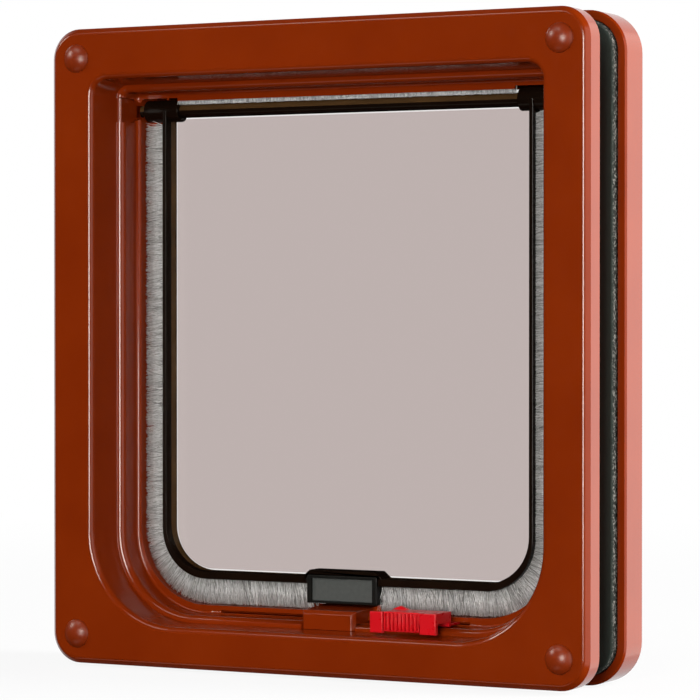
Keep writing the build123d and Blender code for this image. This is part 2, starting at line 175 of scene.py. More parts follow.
def addBox(bm, low, high):
    box = bmesh.ops.create_cube(bm, size=1)
    place = Matrix.Translation((low + high) / 2) @ Matrix.Diagonal((*(high - low), 1))
    bmesh.ops.transform(bm, verts=box["verts"], matrix=place)


# a flat face across the passage, square or round at the top corners and round at the bottom
def outlineFace(bm, half, top, bottom, topCorner, bottomCorner, y, segments=14):
    places = ((-half, top), (half, top), (half, bottom), (-half, bottom))
    corners = [bm.verts.new((x, y, z)) for x, z in places]
    bm.faces.new(corners)
    for verts, radius in ((corners[:2], topCorner), (corners[2:], bottomCorner)):
        if radius:
            bmesh.ops.bevel(
                bm,
                geom=verts,
                offset=radius,
                segments=segments,
                profile=0.5,
                affect="VERTICES",
                material=-1,
            )
    return next(iter(bm.faces))


# a slab: a copy of the face is pushed away, with walls between the two
def pushFace(bm, face, offset):
    made = bmesh.ops.extrude_face_region(bm, geom=[face])["geom"]
    pushed = next(item for item in made if isinstance(item, bmesh.types.BMFace))
    bmesh.ops.translate(bm, verts=pushed.verts, vec=offset)
    return pushed


# a slab's two faces go, and inner walls join their edges
def cutThrough(bm, front, back):
    loops = [*front.edges, *back.edges]
    bmesh.ops.delete(bm, geom=[front, back], context="FACES_ONLY")
    return bmesh.ops.bridge_loops(bm, edges=loops)["faces"]


# open edges get faces, and all faces point outwards
def closeShell(bm):
    bmesh.ops.holes_fill(bm, edges=[edge for edge in bm.edges if edge.is_boundary])
    bmesh.ops.recalc_face_normals(bm, faces=bm.faces)


# crisp edges in a shell's front or back plane
def crispEdges(bm, *planes):
    return [
        edge
        for edge in bm.edges
        if edge.calc_face_angle() > crispTurn
        and any(all(abs(vert.co.y - y) < nearPlane for vert in edge.verts) for y in planes)
    ]


# shells are made one by one, and joined into one mesh at the end
def bankShell(bm, shells):
    mesh = bpy.data.meshes.new("shell")
    bm.to_mesh(mesh)
    bm.free()
    shells.append(mesh)


def joinShells(shells):
    bm = bmesh.new()
    for mesh in shells:
        bm.from_mesh(mesh)
        bpy.data.meshes.remove(mesh)
    return bm


# Materials

brownMoulding = {
    "deep": (0.207, 0.0207, 0.0012),
    "warm": (0.237, 0.0258, 0.0018),
    "mottleScale": 35,
    "gloss": (0.13, 0.20),
    "capGloss": (0.30, 0.38),
    "peelScale": 420,
    "peelStrength": 0.05,
    "peelDepth": 0.05 * mm,
    "ior": 1.5,
}


def makeBrownMoulding(name, gloss):
    look = brownMoulding
    material, nodes, links, shader = newMaterial(name)
    mottle, _ = noiseRange(nodes, links, look["mottleScale"])
    rough, peel = noiseRange(nodes, links, look["peelScale"], gloss)
    looks = {
        "Base Color": mixColours(nodes, links, mottle, look["deep"], look["warm"]),
        "Roughness": rough,
        "IOR": look["ior"],
    }
    dressShader(links, shader, looks)
    addBump(nodes, links, shader, peel, look["peelStrength"], look["peelDepth"])
    return material


smokePane = {
    "tint": (0.555, 0.478, 0.462),
    "haze": (0.012, 0.028),
    "hazeScale": 45,
    "paintedEdgeTint": (0.92, 0.90, 0.89),
    "edgeRough": 0.1,
    "ior": 1.49,
}


def makeSmokePane():
    material, nodes, links, shader = newMaterial("smokePane")
    haze, _ = noiseRange(nodes, links, smokePane["hazeScale"], smokePane["haze"])
    looks = {
        "Base Color": smokePane["tint"],
        "Transmission Weight": 1,
        "Roughness": haze,
        "IOR": smokePane["ior"],
    }
    dressShader(links, shader, looks)
    return material


# a paler tint painted along the pane's edge: painted light, where light leaves the edge
def makePaneEdgePaintedLight():
    material, _, links, shader = newMaterial("paneEdgePaintedLight")
    looks = {
        "Base Color": smokePane["paintedEdgeTint"],
        "Transmission Weight": 1,
        "Roughness": smokePane["edgeRough"],
        "IOR": smokePane["ior"],
    }
    dressShader(links, shader, looks)
    return material


# the same plastic through its thickness: nearly black; the olive copy is painted light, where
# light would come through it
smokeRim = {"deep": (0.0055, 0.0027, 0.0016), "warm": (0.0105, 0.0050, 0.0027)}
smokePaintedLight = {"deep": (0.058, 0.030, 0.012), "warm": (0.086, 0.045, 0.017)}
smokeGloss = {"mottleScale": 70, "rough": 0.25, "specular": 0.12}


def makeSmokeSolid(name, look):
    material, nodes, links, shader = newMaterial(name)
    mottle, _ = noiseRange(nodes, links, smokeGloss["mottleScale"])
    looks = {
        "Base Color": mixColours(nodes, links, mottle, look["deep"], look["warm"]),
        "Roughness": smokeGloss["rough"],
        "Specular IOR Level": smokeGloss["specular"],
        "IOR": smokePane["ior"],
    }
    dressShader(links, shader, looks)
    return material


brushPile = {
    "dark": (0.165, 0.165, 0.170),
    "light": (0.93, 0.94, 0.97),
    "rough": 0.65,
    "sheen": 0.2,
}


def makeBrushPile():
    look = brushPile
    material, nodes, links, shader = newMaterial("brushPile")
    shade = nodes.new("ShaderNodeAttribute")
    shade.attribute_name = "strandShade"
    looks = {
        "Base Color": mixColours(nodes, links, shade.outputs["Fac"], look["dark"], look["light"]),
        "Roughness": look["rough"],
        "Sheen Weight": look["sheen"],
    }
    dressShader(links, shader, looks)
    return material


foamCell = {
    "front": (0.034, 0.047, 0.043),
    "side": (0.005, 0.006, 0.0055),
    "frayPaintedLight": (0.17, 0.168, 0.165),
    "cellScale": 1500,
    "cellSpan": (-1.6, 1.5),
    "cellDetail": 2,
    "grainScale": 700,
    "grainDetail": 4,
    "grainBump": 0.7,
    "grainDepth": 0.3 * mm,
    "rough": 0.95,
    "specular": 0.2,
}


# dark foam; its frayed edge is painted darker as painted shade, with pale specks of cut cells as
# painted highlights
def makeFoamCell():
    look = foamCell
    material, nodes, links, shader = newMaterial("foamCell")
    cells, _ = noiseRange(nodes, links, look["cellScale"], look["cellSpan"], look["cellDetail"])
    _, grain = noiseRange(nodes, links, look["grainScale"], detail=look["grainDetail"])
    edge = nodes.new("ShaderNodeAttribute")
    edge.attribute_name = "frayPaintedLightMask"
    paintedSpeckLight = joinMath(nodes, links, "MULTIPLY", cells, edge.outputs["Fac"])
    # the rounded edge is painted darker than the front: painted shade
    plain = mixColours(nodes, links, edge.outputs["Fac"], look["front"], look["side"])
    looks = {
        "Base Color": mixColours(nodes, links, paintedSpeckLight, plain, look["frayPaintedLight"]),
        "Roughness": look["rough"],
        "Specular IOR Level": look["specular"],
    }
    dressShader(links, shader, looks)
    addBump(nodes, links, shader, grain, look["grainBump"], look["grainDepth"])
    return material


plainFinishes = {
    "redMoulding": {
        "deep": (0.62, 0.0035, 0.010),
        "warm": (0.68, 0.005, 0.013),
        "gloss": (0.26, 0.32),
        "scale": 90,
        "bump": 0.01,
    },
    "blackHolder": {
        "deep": (0.004, 0.004, 0.004),
        "warm": (0.008, 0.008, 0.007),
        "gloss": (0.35, 0.5),
        "scale": 400,
        "specular": 0.2,
    },
    "ferrite": {
        "deep": (0.060, 0.068, 0.069),
        "warm": (0.073, 0.082, 0.083),
        "gloss": (0.45, 0.6),
        "scale": 700,
    },
    "screwSteel": {
        "deep": (0.55, 0.55, 0.55),
        "warm": (0.65, 0.65, 0.65),
        "gloss": (0.25, 0.4),
        "scale": 500,
        "metallic": 1,
    },
}
plainGrain = {"finer": 3, "depth": 0.05 * mm}


# mottled colour, and a roughness that varies on a finer scale
def makePlain(name, deep, warm, gloss, scale, metallic=0, bump=0.1, specular=0.5):
    material, nodes, links, shader = newMaterial(name)
    mottle, grain = noiseRange(nodes, links, scale)
    rough, _ = noiseRange(nodes, links, scale * plainGrain["finer"], gloss)
    looks = {
        "Base Color": mixColours(nodes, links, mottle, deep, warm),
        "Roughness": rough,
        "Metallic": metallic,
        "Specular IOR Level": specular,
    }
    dressShader(links, shader, looks)
    addBump(nodes, links, shader, grain, bump, plainGrain["depth"])
    return material


brown = makeBrownMoulding("brownMoulding", brownMoulding["gloss"])
capBrown = makeBrownMoulding("capBrown", brownMoulding["capGloss"])
clear = makeSmokePane()
clearEdgePaintedLight = makePaneEdgePaintedLight()
rimSmoke = makeSmokeSolid("smokeRim", smokeRim)
rimPaintedLight = makeSmokeSolid("smokePaintedLight", smokePaintedLight)
pile = makeBrushPile()
foam = makeFoamCell()
finishes = {name: makePlain(name, **look) for name, look in plainFinishes.items()}
print("materials made")


# Frames, hidden magnet, screws and slide: the solids, merged and shaded as smooth pieces

solidCopies = {
    "merge": 0.002 * mm,
    "flatDegrees": 0.2,
    "sharpDegrees": 28,
    "softEdge": 0.18 * mm,
    "softSegments": 2,
    "softDegrees": 40,
}
slideGrip = {"setback": 0.7 * mm, "near": 0.02 * mm, "deeper": 0.55 * mm}


def copySolid(nodeName, name, body, material):
    look = solidCopies
    bm = bmesh.new()
    bm.from_mesh(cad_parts[nodeName].data)
    bmesh.ops.remove_doubles(bm, verts=bm.verts, dist=look["merge"])
    flat = math.radians(look["flatDegrees"])
    bmesh.ops.dissolve_limit(bm, angle_limit=flat, verts=bm.verts, edges=bm.edges)
    return newPiece(name, bm, body, [material], nodeName)


# the ground between the grip's ribs goes back, so that the ribs stand out
def deepenGrip(piece):
    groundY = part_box("lock_slide")[0].y + slideGrip["setback"]
    for vert in piece.data.vertices:
        if abs(vert.co.y - groundY) < slideGrip["near"]:
            vert.co.y += slideGrip["deeper"]


# a small round along the sharp edges of a copied solid
def softenEdges(piece):
    soften = piece.modifiers.new("softEdges", "BEVEL")
    soften.width = solidCopies["softEdge"]
    soften.segments = solidCopies["softSegments"]
    soften.limit_method = "ANGLE"
    soften.angle_limit = math.radians(solidCopies["softDegrees"])


for nodeName, pieceName, slotName, finish in (
    ("inner_frame", "roomFrame", "brown_plastic", brown),
    ("outer_frame", "streetFrame", "brown_plastic", brown),
    ("frame_magnet", "frameMagnet", "ferrite", finishes["ferrite"]),
    ("clamp_screws", "clampScrews", "screw_steel", finishes["screwSteel"]),
):
    solid = copySolid(nodeName, pieceName, "frame", finish)
    finishShading(solid, solidCopies["sharpDegrees"])
lockSlide = copySolid("lock_slide", "lockSlide", "lock", finishes["redMoulding"])
deepenGrip(lockSlide)
softenEdges(lockSlide)
finishShading(lockSlide, solidCopies["sharpDegrees"])
print("frames and slide made")


# Screw caps

screwCap = {
    "radius": 4.9 * mm,
    "rings": 10,
    "steps": 56,
    "merge": 0.005 * mm,
    "sharpDegrees": 50,
}


# one dome with its plug, spun about the screw's line
def spinCap(bm, middle, height, plug):
    radius, rings = screwCap["radius"], screwCap["rings"]
    dome = (radius**2 + height**2) / (2 * height)
    reach = math.asin(radius / dome)
    profile = []
    for ring in range(rings + 1):
        angle = reach * ring / rings
        out, rise = dome * math.sin(angle), dome * math.cos(angle) - dome + height
        profile.append(bm.verts.new(middle + Vector((out, -rise, 0))))
    profile.append(bm.verts.new(middle + Vector((radius, plug, 0))))
    edges = [bm.edges.new(pair) for pair in zip(profile, profile[1:])]
    bmesh.ops.spin(
        bm,
        geom=profile + edges,
        cent=middle,
        axis=(0, 1, 0),
        angle=math.tau,
        steps=screwCap["steps"],
        use_merge=True,
    )


def makeScrewCaps():
    low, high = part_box("screw_caps")
    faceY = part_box("inner_frame")[0].y
    radius = screwCap["radius"]
    bm = bmesh.new()
    for x in (low.x + radius, high.x - radius):
        for z in (low.z + radius, high.z - radius):
            spinCap(bm, Vector((x, faceY, z)), faceY - low.y, high.y - faceY)
    bmesh.ops.remove_doubles(bm, verts=bm.verts, dist=screwCap["merge"])
    closeShell(bm)
    piece = newPiece("screwCaps", bm, "frame", [capBrown], "screw_caps")
    finishShading(piece, screwCap["sharpDegrees"])


makeScrewCaps()
print("screw caps made")


# Flap: rim, pane, hinge barrel with its thicker ends and the raised place over the magnet
# holder, in one smoke-tinted moulding

flapMoulding = {
    "half": 71.45 * mm,
    "corner": 17.5 * mm,
    "rimWall": 1.6 * mm,
    "footWall": 2.6 * mm,
    "overTop": 6 * mm,  # the rim is drawn past the hinge, and cut there
    # behind this share of the inner wall's depth, the wall is painted lighter as painted light
    "darkShare": 0.45,  # of the depth of the rim's inner wall, from the front
    "edgeRound": 0.35 * mm,
    "edgeSegments": 2,
    "paneThick": 1.55 * mm,
    "paneDrop": 2.4 * mm,
    "paneLap": 0.9 * mm,
    "paneCorner": 15.0 * mm,
    "paneSeat": 0.8 * mm,
    "paintedEdgeLine": 0.45 * mm,
    "webLap": 0.1 * mm,
    "webFront": 0.15 * mm,
    "barrel": 2.25 * mm,
    "barrelSides": 48,
    "boss": 3.9 * mm,
    "bossStart": 65.4 * mm,
    "bossEnd": 79.2 * mm,
    "bumpHalf": 15.2 * mm,
    "bumpShoulder": 2.5 * mm,
    "bumpWall": 1.6 * mm,
    "bumpFit": 0.1 * mm,
}
# the light finish is the olive copy of the smoke plastic: painted light where light would come
# through or fall on it
flapFinish = {"pane": 0, "rim": 1, "paintedEdgeLine": 2, "light": 3}


def paintFaces(faces, finish):
    for face in faces:
        face.material_index = flapFinish[finish]


def roundEdges(bm, edges):
    bevelEdges(bm, edges, flapMoulding["edgeRound"], flapMoulding["edgeSegments"])


def bisectAll(bm, point, normal, clearOuter=False):
    everything = [*bm.verts, *bm.edges, *bm.faces]
    bmesh.ops.bisect_plane(
        bm, geom=everything, plane_co=point, plane_no=normal, clear_outer=clearOuter
    )


# the rim's inner wall is dark in front, and painted lighter at the back: painted light, as if
# light came through it
def paintWallLight(bm, walls, paintedLightY):
    around = dict.fromkeys(item for wall in walls for item in (*wall.edges, *wall.verts))
    split = bmesh.ops.bisect_plane(
        bm, geom=[*walls, *around], plane_co=(0, paintedLightY, 0), plane_no=(0, 1, 0)
    )
    parted = [item for item in split["geom"] if isinstance(item, bmesh.types.BMFace)]
    paintFaces([face for face in parted if face.calc_center_median().y > paintedLightY], "light")


def makeRim(low, high, hingeZ):
    look = flapMoulding
    depth = high.y - low.y
    bm = bmesh.new()
    top = hingeZ + look["overTop"]
    front = outlineFace(bm, look["half"], top, low.z, 0, look["corner"], low.y)
    back = pushFace(bm, front, (0, depth, 0))
    for face in (front, back):
        bmesh.ops.inset_individual(
            bm, faces=[face], thickness=look["rimWall"], use_even_offset=True
        )
        foot = [vert for vert in face.verts if vert.co.z < 0]
        bmesh.ops.translate(bm, verts=foot, vec=(0, 0, look["footWall"] - look["rimWall"]))
    walls = cutThrough(bm, front, back)
    paintFaces(bm.faces, "rim")
    paintWallLight(bm, walls, low.y + depth * look["darkShare"])
    # the crossbar above the hinge and the foot's stretch behind the raised place come away
    bisectAll(bm, (0, 0, hingeZ), (0, 0, 1), clearOuter=True)
    cutHalf = look["bumpHalf"] - look["bumpWall"] / 2
    for x in (-cutHalf, cutHalf):
        bisectAll(bm, (x, 0, 0), (1, 0, 0))
    middle = [face for face in bm.faces if abs(face.calc_center_median().x) < cutHalf]
    bmesh.ops.delete(bm, geom=middle, context="FACES")
    closeShell(bm)
    roundEdges(bm, crispEdges(bm, low.y, high.y))
    return bm


# the pane's border is seated in the rim, with a paler tint painted along it as painted light
def makePane(low, high, hingeZ):
    look = flapMoulding
    seat = look["paneSeat"]
    bm = bmesh.new()
    front = outlineFace(
        bm,
        look["half"] - look["rimWall"] + seat,
        hingeZ - look["paneDrop"] + look["paneLap"],
        low.z + look["footWall"] - seat,
        0,
        look["paneCorner"] + seat,
        high.y - look["rimWall"],
    )
    back = pushFace(bm, front, (0, look["paneThick"], 0))
    paintFaces(bm.faces, "rim")
    for face in (front, back):
        bmesh.ops.inset_individual(bm, faces=[face], thickness=seat, use_even_offset=True)
        line = bmesh.ops.inset_individual(
            bm, faces=[face], thickness=look["paintedEdgeLine"], use_even_offset=True
        )
        paintFaces(line["faces"], "paintedEdgeLine")
        paintFaces([face], "pane")
    bmesh.ops.recalc_face_normals(bm, faces=bm.faces)
    return bm


# the web from the hinge barrel down to the pane, drawn from the side and pushed across
def makeWeb(high, hingeY, hingeZ):
    look = flapMoulding
    half = look["half"] - look["rimWall"]
    hold, lap = look["barrel"] / 2, look["webLap"]
    paneTop = hingeZ - look["paneDrop"] + look["paneLap"]
    frontY = high.y - look["rimWall"] - look["webFront"]
    side = (
        (hingeY, hingeZ),
        (hingeY - hold, hingeZ - hold),
        (frontY, paneTop),
        (frontY, paneTop - lap),
        (high.y, paneTop - lap),
        (high.y, paneTop),
        (hingeY + hold, hingeZ - hold),
    )
    bm = bmesh.new()
    face = bm.faces.new([bm.verts.new((-half, y, z)) for y, z in side])
    pushFace(bm, face, (2 * half, 0, 0))
    paintFaces(bm.faces, "rim")
    bmesh.ops.recalc_face_normals(bm, faces=bm.faces)
    return bm


# a round length of the hinge with bevelled ends; its upward faces can take a lighter finish,
# painted light on its top
def makeBarrel(radius, startX, endX, hingeY, hingeZ, upper="rim"):
    bm = bmesh.new()
    bmesh.ops.create_cone(
        bm,
        cap_ends=True,
        segments=flapMoulding["barrelSides"],
        radius1=radius,
        radius2=radius,
        depth=endX - startX,
    )
    roundEdges(bm, [edge for edge in bm.edges if edge.calc_face_angle() > crispTurn])
    turn = Matrix.Rotation(quarterTurn, 4, "Y")
    place = Matrix.Translation(((startX + endX) / 2, hingeY, hingeZ))
    bmesh.ops.transform(bm, verts=bm.verts, matrix=place @ turn)
    bm.normal_update()
    paintFaces(bm.faces, "rim")
    # upward faces get the upper finish: with the light finish, this is painted light falling on
    # the barrel's top
    paintFaces([face for face in bm.faces if face.normal.z > 0], upper)
    return bm


# the raised place over the magnet holder, notched for it from below
def makeBump(low, high):
    look = flapMoulding
    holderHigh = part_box("flap_magnet_holder")[1]
    notchHalf, notchTop = holderHigh.x + look["bumpFit"], holderHigh.z + look["bumpFit"]
    half, shoulder, top = look["bumpHalf"], look["bumpShoulder"], notchTop + look["bumpWall"]
    paneFoot = low.z + look["footWall"]
    outline = (
        (half, low.z),
        (half, paneFoot),
        (half - shoulder, top),
        (shoulder - half, top),
        (-half, paneFoot),
        (-half, low.z),
        (-notchHalf, low.z),
        (-notchHalf, notchTop),
        (notchHalf, notchTop),
        (notchHalf, low.z),
    )
    bm = bmesh.new()
    face = bm.faces.new([bm.verts.new((x, low.y, z)) for x, z in outline])
    pushFace(bm, face, (0, high.y - low.y, 0))
    paintFaces(bm.faces, "rim")
    bmesh.ops.recalc_face_normals(bm, faces=bm.faces)
    roundEdges(bm, crispEdges(bm, low.y, high.y))
    return bm


def makeFlap():
    look = flapMoulding
    low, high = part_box("flap")
    hingeY, hingeZ = (low.y + high.y) / 2, high.z - look["boss"]
    shells = []
    for bm in (
        makeRim(low, high, hingeZ),
        makePane(low, high, hingeZ),
        makeWeb(high, hingeY, hingeZ),
        makeBarrel(look["barrel"], low.x, high.x, hingeY, hingeZ, "light"),
        makeBarrel(look["boss"], look["bossStart"], look["bossEnd"], hingeY, hingeZ),
        makeBarrel(look["boss"], -look["bossEnd"], -look["bossStart"], hingeY, hingeZ),
        makeBump(low, high),
    ):
        bankShell(bm, shells)
    materials = [clear, rimSmoke, clearEdgePaintedLight, rimPaintedLight]  # in the order of flapFinish
    piece = newPiece("flapMoulding", joinShells(shells), "flap", materials, "flap")
    finishShading(piece)


makeFlap()
print("flap made")


# Magnet holder, magnet and cover

magnetPieces = {
    "holderRound": 0.3 * mm,
    "holderWall": 0.1 * mm,
    "magnetRound": 0.3 * mm,
    "coverChamfer": 1.3 * mm,
    "coverRound": 0.35 * mm,
    "coverSegments": 2,
    "coverTurn": 0.3,
    "coverSlope": 0.95 * mm,
    "coverNear": 1 * mm,
}


def frontFace(bm):
    return min(bm.faces, key=lambda face: face.calc_center_median().y)


# a block with a pocket as large as the magnet, open in front
def makeMagnetHolder():
    look = magnetPieces
    low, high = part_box("flap_magnet_holder")
    magnetLow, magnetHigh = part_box("flap_magnet")
    bm = bmesh.new()
    addBox(bm, low, high)
    mouth = frontFace(bm)
    bmesh.ops.inset_individual(bm, faces=[mouth], thickness=0)
    for vert in mouth.verts:
        vert.co.x = magnetLow.x if vert.co.x < 0 else magnetHigh.x
        vert.co.z = magnetLow.z if vert.co.z < (low.z + high.z) / 2 else magnetHigh.z
    bmesh.ops.inset_individual(bm, faces=[mouth], thickness=0)
    bmesh.ops.translate(bm, verts=mouth.verts, vec=(0, magnetHigh.y - low.y, 0))
    wallX = magnetHigh.x + look["holderWall"]
    outer = [
        edge
        for edge in bm.edges
        if edge.calc_face_angle() > crispTurn
        and any(abs(vert.co.x) > wallX for vert in edge.verts)
    ]
    bevelEdges(bm, outer, look["holderRound"])
    materials = [finishes["blackHolder"]]
    piece = newPiece("magnetHolder", bm, "flap", materials, "flap_magnet_holder")
    finishShading(piece)


def makeFlapMagnet():
    bm = bmesh.new()
    addBox(bm, *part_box("flap_magnet"))
    bevelEdges(bm, bm.edges[:], magnetPieces["magnetRound"])
    piece = newPiece("flapMagnet", bm, "flap", [finishes["ferrite"]], "flap_magnet")
    finishShading(piece)


# a block that rises to the back, with a chamfered front
def makeMagnetCover():
    look = magnetPieces
    near = look["coverNear"]
    low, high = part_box("magnet_cover")
    bm = bmesh.new()
    addBox(bm, low, high)
    rear = [vert for vert in bm.verts if vert.co.y > high.y - near and vert.co.z > high.z - near]
    bmesh.ops.translate(bm, verts=rear, vec=(0, 0, look["coverSlope"]))
    shoulders = [
        edge
        for edge in frontFace(bm).edges
        if max(vert.co.z for vert in edge.verts) > low.z + near
    ]
    bevelEdges(bm, shoulders, look["coverChamfer"], 1)
    turned = [edge for edge in bm.edges if edge.calc_face_angle() > look["coverTurn"]]
    bevelEdges(bm, turned, look["coverRound"], look["coverSegments"])
    piece = newPiece("magnetCover", bm, "frame", [brown], "magnet_cover")
    finishShading(piece)


makeMagnetHolder()
makeFlapMagnet()
makeMagnetCover()
print("magnet pieces made")


# Foam gasket: a strip ring with a rounded, frayed outer edge

foamRing = {
    "half": 86.3 * mm,
    "top": 93.3 * mm,
    "bottom": -99.2 * mm,
    "corner": 10.7 * mm,
    "round": 1.0 * mm,
    "roundSegments": 4,
    "rimBand": 0.1 * mm,
    "longEdge": 50 * mm,
    "frayCuts": 150,
    "frayScale": 900,
    "frayDepth": 0.22 * mm,
    "frayBand": 1.8 * mm,
    "frayFrom": 0.2 * mm,
    "fraySeed": 11,
}


# whether a vertex lies within a band along the ring's outer edge
def onFoamRim(vert, high, band):
    corner = foamRing["corner"]
    x = max(0, abs(vert.co.x) - (high.x - corner))
    z = max(0, abs(vert.co.z) - (high.z - corner))
    return math.hypot(x, z) > corner - band


# the outer edge gets vertices to move, a mark for its painted shade and painted speck highlights,
# and uneven places
def frayEdge(bm, low, high):
    look = foamRing
    long = [edge for edge in bm.edges if edge.calc_length() > look["longEdge"]]
    bmesh.ops.subdivide_edges(bm, edges=long, cuts=look["frayCuts"], use_grid_fill=True)
    frayPaintedLight = bm.verts.layers.float.new("frayPaintedLightMask")
    noise.seed_set(look["fraySeed"])  # without it, noise_vector differs from run to run
    for vert in bm.verts:
        if vert.co.y > low.y + look["frayFrom"] and onFoamRim(vert, high, look["frayBand"]):
            vert[frayPaintedLight] = min(1, (vert.co.y - low.y) / look["round"])
            if vert.co.y < high.y - look["round"]:
                vert.co += noise.noise_vector(vert.co * look["frayScale"]) * look["frayDepth"]


def makeFoam():
    look = foamRing
    low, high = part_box("foam_gasket")
    bm = bmesh.new()
    corner = look["corner"]
    front = outlineFace(bm, high.x, high.z, low.z, corner, corner, low.y)
    back = pushFace(bm, front, (0, high.y - low.y, 0))
    middle = Matrix.Translation((0, 0, (look["top"] + look["bottom"]) / 2))
    narrow, shorten = look["half"] / high.x, (look["top"] - look["bottom"]) / (high.z - low.z)
    inner = middle @ Matrix.Diagonal((narrow, 1, shorten, 1))
    for face in (front, back):
        bmesh.ops.inset_individual(bm, faces=[face], thickness=0)
        bmesh.ops.transform(bm, verts=face.verts, matrix=inner)
    cutThrough(bm, front, back)
    bmesh.ops.recalc_face_normals(bm, faces=bm.faces)
    crisp = crispEdges(bm, low.y)
    outer = [edge for edge in crisp if onFoamRim(edge.verts[0], high, look["rimBand"])]
    bevelEdges(bm, outer, look["round"], look["roundSegments"])
    frayEdge(bm, low, high)
    piece = newPiece("foamRing", bm, "frame", [foam], "foam_gasket")
    finishShading(piece)


makeFoam()
print("foam made")


# Brushes: strands planted along the rim or the sleeve's ceiling, tips outwards

brushSeal = {
    "strandRoot": 0.125 * mm,
    "strandTip": 0.065 * mm,
    "strandSides": 3,
    "spacing": 0.16 * mm,
    "layers": 7,
    "topLayers": 3,
    "overTip": 0.3 * mm,
    "ragged": 0.9 * mm,
    "topReach": (0.82, 1.08),
    "lean": 5,  # degrees, as stray and clump are
    "stray": 10,
    "clump": 13,
    "clumpScale": 420,
    "shade": 0.74,
    "shadeSpread": 0.34,
    # painted shade: the roots are painted darker than the tips
    "rootPaintedShade": -0.14,  # roots are darker than tips
    "tuft": 240,
    "seed": 11,
}


def plantStrand(bm, shadeLayer, root, direction, length, shade):
    look = brushSeal
    cone = bmesh.ops.create_cone(
        bm,
        cap_ends=True,
        segments=look["strandSides"],
        radius1=look["strandRoot"],
        radius2=look["strandTip"],
        depth=length,
    )
    for vert in cone["verts"]:
        # the root end takes the painted shade
        vert[shadeLayer] = shade + look["rootPaintedShade"] if vert.co.z < 0 else shade
    turn = direction.to_track_quat("Z", "Y").to_matrix().to_4x4()
    place = Matrix.Translation(root + direction * length / 2) @ turn
    bmesh.ops.transform(bm, verts=cone["verts"], matrix=place)


# strands are planted in tufts, because a small bmesh is quick to add to
def plantBrush(strands):
    tufts = []
    for start in range(0, len(strands), brushSeal["tuft"]):
        bm = bmesh.new()
        shadeLayer = bm.verts.layers.float.new("strandShade")
        for strand in strands[start : start + brushSeal["tuft"]]:
            plantStrand(bm, shadeLayer, *strand)
        bankShell(bm, tufts)
    return joinShells(tufts)


# strands of one place lean together, so that the pile looks mottled
def strandLean(dice, distance, depth):
    look = brushSeal
    clump = noise.noise(Vector((distance, depth, look["seed"] * mm)) * look["clumpScale"])
    return math.radians(look["clump"] * clump + dice.gauss(0, look["stray"]))


def strandShade(dice):
    return min(1, max(0, dice.gauss(brushSeal["shade"], brushSeal["shadeSpread"])))


# place and outward direction at a distance along one side of the flap's rim
def alongRim(distance, side, half, top, bottom, corner):
    down = top - bottom - corner
    bend = corner * math.pi / 2
    if distance < down:
        return Vector((side * half, 0, top - distance)), Vector((side, 0, 0))
    if distance < down + bend:
        angle = (distance - down) / corner
        outward = Vector((side * math.cos(angle), 0, -math.sin(angle)))
        return Vector((side * (half - corner), 0, bottom + corner)) + outward * corner, outward
    run = distance - down - bend
    return Vector((side * (half - corner - run), 0, bottom)), Vector((0, 0, -1))


# the pile bridges the gap beside the flap and the one below it, and blends round the corner
def makeSideBrush(name, nodeName, side):
    look = brushSeal
    dice = random.Random(look["seed"] + side)
    low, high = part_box(nodeName)
    half, corner, bottom = flapMoulding["half"], flapMoulding["corner"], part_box("flap")[0].z
    sideLength = (high.x if side > 0 else -low.x) - half
    footLength = bottom - low.z
    stop = abs(low.x if side > 0 else high.x)
    total = (high.z - bottom - corner) + corner * math.pi / 2 + (half - corner - stop)
    strands = []
    for step in range(int(total / look["spacing"])):
        for layer in range(look["layers"]):
            distance = min((step + dice.random()) * look["spacing"], total)
            place, outward = alongRim(distance, side, half, high.z, bottom, corner)
            depth = low.y + (high.y - low.y) * (layer + dice.random()) / look["layers"]
            along = outward.cross(Vector((0, 1, 0)))
            lean = math.radians(look["lean"]) + strandLean(dice, distance, depth)
            length = sideLength * outward.x**2 + footLength * outward.z**2 + look["overTip"]
            reach = length - look["ragged"] * dice.random() ** 2
            direction = (outward + along * math.tan(lean)).normalized()
            root = Vector((place.x, depth, place.z))
            strands.append((root, direction, reach, strandShade(dice)))
    piece = newPiece(name, plantBrush(strands), "flap", [pile], nodeName)
    piece.data.shade_smooth()


def makeTopBrush():
    look = brushSeal
    dice = random.Random(look["seed"])
    low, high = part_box("brush_top")
    strands = []
    for step in range(int((high.x - low.x) / look["spacing"])):
        for _ in range(look["topLayers"]):
            x = low.x + (step + dice.random()) * look["spacing"]
            depth = dice.uniform(low.y, high.y)
            direction = Vector((math.tan(strandLean(dice, x, depth)), 0, -1)).normalized()
            reach = (high.z - low.z) * dice.uniform(*look["topReach"])
            strands.append((Vector((x, depth, high.z)), direction, reach, strandShade(dice)))
    piece = newPiece("brushTop", plantBrush(strands), "frame", [pile], "brush_top")
    piece.data.shade_smooth()


makeSideBrush("brushLeft", "brush_left", -1)
makeSideBrush("brushRight", "brush_right", 1)
makeTopBrush()
print("brushes made")


# Floor, flag, world, lights and camera

def stagePlane(name, width, height, place, material):
    bm = bmesh.new()
    bmesh.ops.create_grid(bm, x_segments=1, y_segments=1, size=0.5)
    size = Matrix.Diagonal((width, height, 1, 1))
    bmesh.ops.transform(bm, verts=bm.verts, matrix=place @ size)
    mesh = bpy.data.meshes.new(name)
    bm.to_mesh(mesh)
    bm.free()
    mesh.materials.append(material)
    plane = bpy.data.objects.new(name, mesh)
    bpy.context.scene.collection.objects.link(plane)
    return plane


